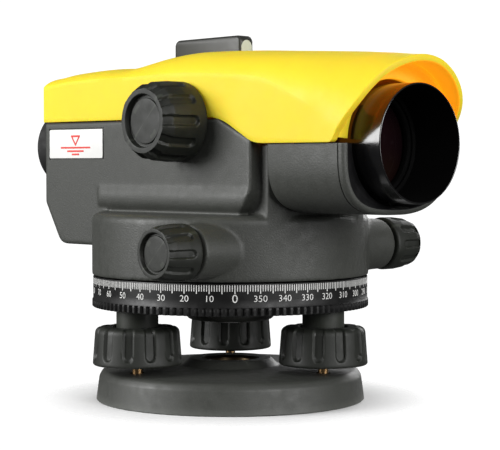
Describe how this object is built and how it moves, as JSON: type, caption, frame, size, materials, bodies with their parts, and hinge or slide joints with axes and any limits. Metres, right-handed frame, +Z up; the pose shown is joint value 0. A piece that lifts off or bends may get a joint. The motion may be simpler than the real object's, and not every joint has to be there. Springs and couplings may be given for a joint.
{
  "type": "automatic level",
  "caption": "Surveyor's automatic level: a yellow-covered telescope with focusing and slow motion knobs on a degree circle and a round three-screw levelling base.",
  "frame": {"origin": "middle of the base plate's underside, on the vertical axis", "axes": "+X is the line of sight towards the target, +Y is the left side seen from behind the eyepiece, +Z is up"},
  "size_m": [0.1888, 0.1218, 0.1298],
  "materials": {
    "body_paint": "fine-grained satin paint on cast alloy",
    "base_paint": "fine-grained satin paint on cast alloy",
    "cover_plastic": "satin moulded plastic, self-coloured yellow",
    "knob_plastic": "satin moulded plastic",
    "scale_plastic": "satin moulded plastic with printed white scale",
    "sight_plastic": "glossy moulded plastic",
    "tube_lacquer": "gloss black lacquer",
    "eyecup_rubber": "matt rubber",
    "label": "printed plastic plate",
    "brass": "turned brass",
    "steel": "turned and ground steel",
    "aluminium": "turned aluminium",
    "clear_glass": "polished",
    "coated_glass": "polished, anti-reflection coated"
  },
  "bodies": {
    "base": {"base_plate": "base_paint", "tripod_thread_bush": "brass", "spring_plate": "steel"},
    "foot_screw_a": {"foot_knob_a": "knob_plastic", "foot_spindle_a": "brass"},
    "tribrach": {"tribrach_body": "body_paint", "foot_sleeve_a": "knob_plastic", "foot_sleeve_b": "knob_plastic", "foot_sleeve_c": "knob_plastic", "axis_stub": "steel", "axis_washer": "steel", "circle_spring": "steel"},
    "foot_screw_b": {"foot_knob_b": "knob_plastic", "foot_spindle_b": "brass"},
    "foot_screw_c": {"foot_knob_c": "knob_plastic", "foot_spindle_c": "brass"},
    "circle": {"horizontal_circle": "scale_plastic"},
    "alidade": {"drum_housing": "body_paint", "axis_bush": "brass", "body_housing": "body_paint", "barrel_housing": "body_paint", "objective_collar": "body_paint", "top_cover": "cover_plastic", "name_plate": "label", "sight_body": "sight_plastic", "sight_front_lens": "clear_glass", "sight_rear_lens": "clear_glass", "objective_tube": "tube_lacquer", "objective_lens": "coated_glass", "objective_lens_ring": "tube_lacquer", "telescope_tube": "aluminium", "reticle_cell": "brass", "eyepiece_sleeve": "body_paint", "compensator_frame": "aluminium", "roof_prism": "clear_glass", "damping_magnet": "steel", "level_cup": "knob_plastic", "level_vial": "clear_glass", "level_prism": "clear_glass", "slow_motion_bush_left": "brass", "slow_motion_bush_right": "brass", "focus_bush": "brass"},
    "slow_motion": {"slow_motion_shaft": "steel", "slow_motion_knob_left": "knob_plastic", "slow_motion_knob_right": "knob_plastic", "slow_motion_cap_left": "knob_plastic", "slow_motion_cap_right": "knob_plastic"},
    "worm_gear": {"worm_wheel": "brass"},
    "focus_drive": {"focus_knob": "knob_plastic", "focus_knob_cap": "knob_plastic", "focus_pinion": "steel"},
    "focusing_slide": {"focusing_cell": "aluminium", "focusing_lens": "coated_glass"},
    "diopter": {"diopter_ring": "knob_plastic", "eyecup": "eyecup_rubber"},
    "eyepiece": {"eyepiece_cell": "aluminium", "eyepiece_lens": "clear_glass"},
    "pendulum": {"pendulum_body": "aluminium", "pendulum_prism": "clear_glass"}
  },
  "joints": [
    {"name": "foot_screw_a_turn", "type": "hinge", "parent": "base", "child": "foot_screw_a", "pos_m": [-0.02772, 0.0254, 0.0213], "axis": [0, 0, 1], "range_deg": [-720, 720]},
    {"name": "levelling_tilt", "type": "hinge", "parent": "base", "child": "tribrach", "pos_m": [0.01386, -0.0127, 0.0065], "axis": [0.6756, 0.7373, 0], "range_deg": [-2.03, 2.03]},
    {"name": "foot_screw_b_turn", "type": "hinge", "parent": "tribrach", "child": "foot_screw_b", "pos_m": [-0.00814, -0.03671, 0.0213], "axis": [0, 0, 1], "range_deg": [-720, 720]},
    {"name": "foot_screw_c_turn", "type": "hinge", "parent": "tribrach", "child": "foot_screw_c", "pos_m": [0.03586, 0.01131, 0.0213], "axis": [0, 0, 1], "range_deg": [-720, 720]},
    {"name": "circle_turn", "type": "hinge", "parent": "tribrach", "child": "circle", "pos_m": [0, 0, 0.039], "axis": [0, 0, 1], "continuous": true},
    {"name": "alidade_turn", "type": "hinge", "parent": "tribrach", "child": "alidade", "pos_m": [0, 0, 0.0553], "axis": [0, 0, 1], "continuous": true},
    {"name": "slow_motion_turn", "type": "hinge", "parent": "alidade", "child": "slow_motion", "pos_m": [0.0295, 0, 0.0553], "axis": [0, 1, 0], "continuous": true},
    {"name": "worm_wheel_turn", "type": "hinge", "parent": "alidade", "child": "worm_gear", "pos_m": [0, 0, 0.0553], "axis": [0, 0, 1], "continuous": true},
    {"name": "focus_knob_turn", "type": "hinge", "parent": "alidade", "child": "focus_drive", "pos_m": [0.0062, -0.03, 0.099], "axis": [0, 1, 0], "range_deg": [-130, 130]},
    {"name": "focusing_lens_travel", "type": "slide", "parent": "alidade", "child": "focusing_slide", "axis": [1, 0, 0], "range_m": [-0.011, 0.011]},
    {"name": "diopter_ring_turn", "type": "hinge", "parent": "alidade", "child": "diopter", "pos_m": [-0.085, 0, 0.091], "axis": [1, 0, 0], "range_deg": [-150, 150]},
    {"name": "eyepiece_travel", "type": "slide", "parent": "alidade", "child": "eyepiece", "axis": [1, 0, 0], "range_m": [-0.002, 0.002]},
    {"name": "compensator_swing", "type": "hinge", "parent": "alidade", "child": "pendulum", "pos_m": [-0.022, 0, 0.106], "axis": [0, 1, 0], "range_deg": [-0.3, 0.3]}
  ],
  "couplings": [
    {"joint": "foot_screw_a_turn", "follows": "levelling_tilt", "ratio": -354.37},
    {"joint": "slow_motion_turn", "follows": "worm_wheel_turn", "ratio": -50},
    {"joint": "focusing_lens_travel", "follows": "focus_knob_turn", "m_per_rad": -0.0048},
    {"joint": "eyepiece_travel", "follows": "diopter_ring_turn", "m_per_rad": 0.00076}
  ]
}
